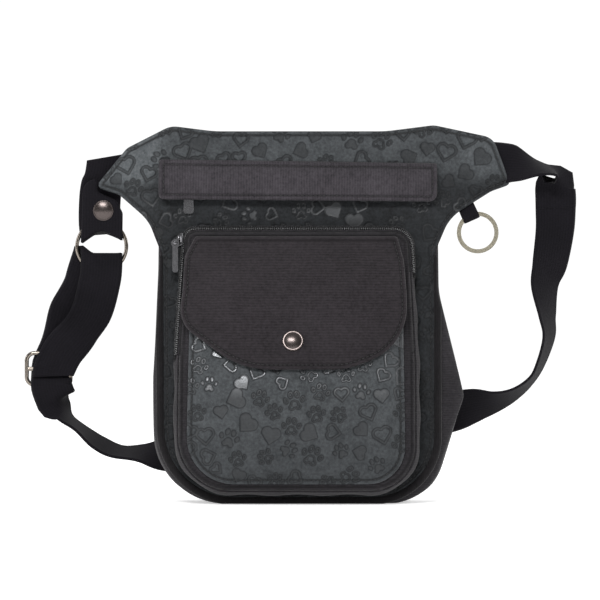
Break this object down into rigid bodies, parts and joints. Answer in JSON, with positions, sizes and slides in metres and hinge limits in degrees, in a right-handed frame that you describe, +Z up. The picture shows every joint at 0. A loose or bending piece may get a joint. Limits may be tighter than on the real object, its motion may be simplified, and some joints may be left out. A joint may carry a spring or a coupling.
{
  "type": "treat pouch",
  "caption": "Winged hip pouch for treats: covered zip compartment, bellows pocket with snap flap, split ring, and an adjustable webbing belt on a ring.",
  "frame": {"origin": "centre of the flat base that the pouch stands on", "axes": "+Z up, front faces -Y, +X to the right of a viewer in front"},
  "size_m": [0.4002, 0.1116, 0.2698],
  "materials": {
    "embossed_leather": "nubuck with pressed hearts and paw prints, glossy where pressed",
    "canvas": "ribbed cotton canvas, matt",
    "binding": "folded canvas binding",
    "webbing": "black ribbed cotton webbing",
    "stiffening": "bonded fibre sheet",
    "zip_tape": "woven zip tape",
    "zip_coil": "nylon coil",
    "black_metal": "gloss black enamel",
    "gunmetal": "polished gunmetal plate",
    "nickel": "warm nickel plate"
  },
  "bodies": {
    "pouch": {"front_panel": "embossed_leather", "front_piping": "binding", "main_gusset": "canvas", "back_panel": "canvas", "wing_padding_left": "stiffening", "wing_padding_right": "stiffening", "top_stiffener": "stiffening", "main_zip_tapes": "zip_tape", "main_zip_coils": "zip_coil", "main_zip_stops": "black_metal", "pocket_gusset": "canvas", "pocket_front_wall": "canvas", "pocket_zip_coil": "zip_coil", "pocket_zip_stops": "black_metal", "slip_pocket_panel": "embossed_leather", "flap_snap_stud": "nickel", "key_ring_tab": "webbing", "belt_end_right": "webbing", "loop_anchor": "webbing"},
    "strip": {"cover_strip": "canvas"},
    "main_slider": {"main_zip_slider": "black_metal"},
    "main_pull": {"main_zip_pull": "black_metal"},
    "pocket_slider": {"pocket_zip_slider": "black_metal"},
    "pocket_pull": {"pocket_zip_pull": "black_metal"},
    "flap": {"pocket_flap": "canvas", "flap_snap_cap": "gunmetal", "flap_snap_socket": "nickel"},
    "key_ring": {"key_ring": "nickel"},
    "belt": {"belt_strap": "webbing", "belt_adjuster": "nickel", "loop_back_layer": "webbing", "loop_snap_stud": "nickel"},
    "loop_end": {"loop_tail": "webbing", "loop_snap_cap": "gunmetal", "loop_snap_socket": "nickel"},
    "belt_ring": {"o_ring": "nickel"}
  },
  "joints": [
    {"name": "cover_strip_lift", "type": "hinge", "parent": "pouch", "child": "strip", "pos_m": [0, 0.0148, 0.2445], "axis": [-1, 0, 0], "range_deg": [0, 100]},
    {"name": "main_zip_slide", "type": "slide", "parent": "pouch", "child": "main_slider", "axis": [1, 0, 0], "range_m": [0, 0.158]},
    {"name": "main_pull_swing", "type": "hinge", "parent": "main_slider", "child": "main_pull", "pos_m": [-0.08, 0.0136, 0.224], "axis": [0, 1, 0], "range_deg": [-55, 55]},
    {"name": "pocket_zip_slide", "type": "slide", "parent": "pouch", "child": "pocket_slider", "axis": [-0.0542, -0.3169, -0.9469], "range_m": [0, 0.066]},
    {"name": "pocket_pull_swing", "type": "hinge", "parent": "pocket_slider", "child": "pocket_pull", "pos_m": [-0.08902, -0.0063, 0.185], "axis": [0, 1, 0], "range_deg": [0, 80]},
    {"name": "flap_lift", "type": "hinge", "parent": "pouch", "child": "flap", "pos_m": [0, -0.00369, 0.19], "axis": [-1, 0, 0], "range_deg": [0, 125]},
    {"name": "key_ring_swing", "type": "hinge", "parent": "pouch", "child": "key_ring", "pos_m": [0.12251, 0.0201, 0.20533], "axis": [0.9135, 0, 0.4067], "range_deg": [-75, 75]},
    {"name": "belt_swing", "type": "hinge", "parent": "pouch", "child": "belt", "pos_m": [-0.141, 0.0252, 0.24], "axis": [0.9998, -0.0173, 0.0136], "range_deg": [0, 95]},
    {"name": "loop_end_lift", "type": "hinge", "parent": "belt", "child": "loop_end", "pos_m": [-0.143, 0.0202, 0.1923], "axis": [1, 0, 0], "range_deg": [0, 100]},
    {"name": "belt_ring_turn", "type": "hinge", "parent": "belt", "child": "belt_ring", "pos_m": [-0.143, 0.0227, 0.183], "axis": [0, 1, 0], "continuous": true}
  ]
}
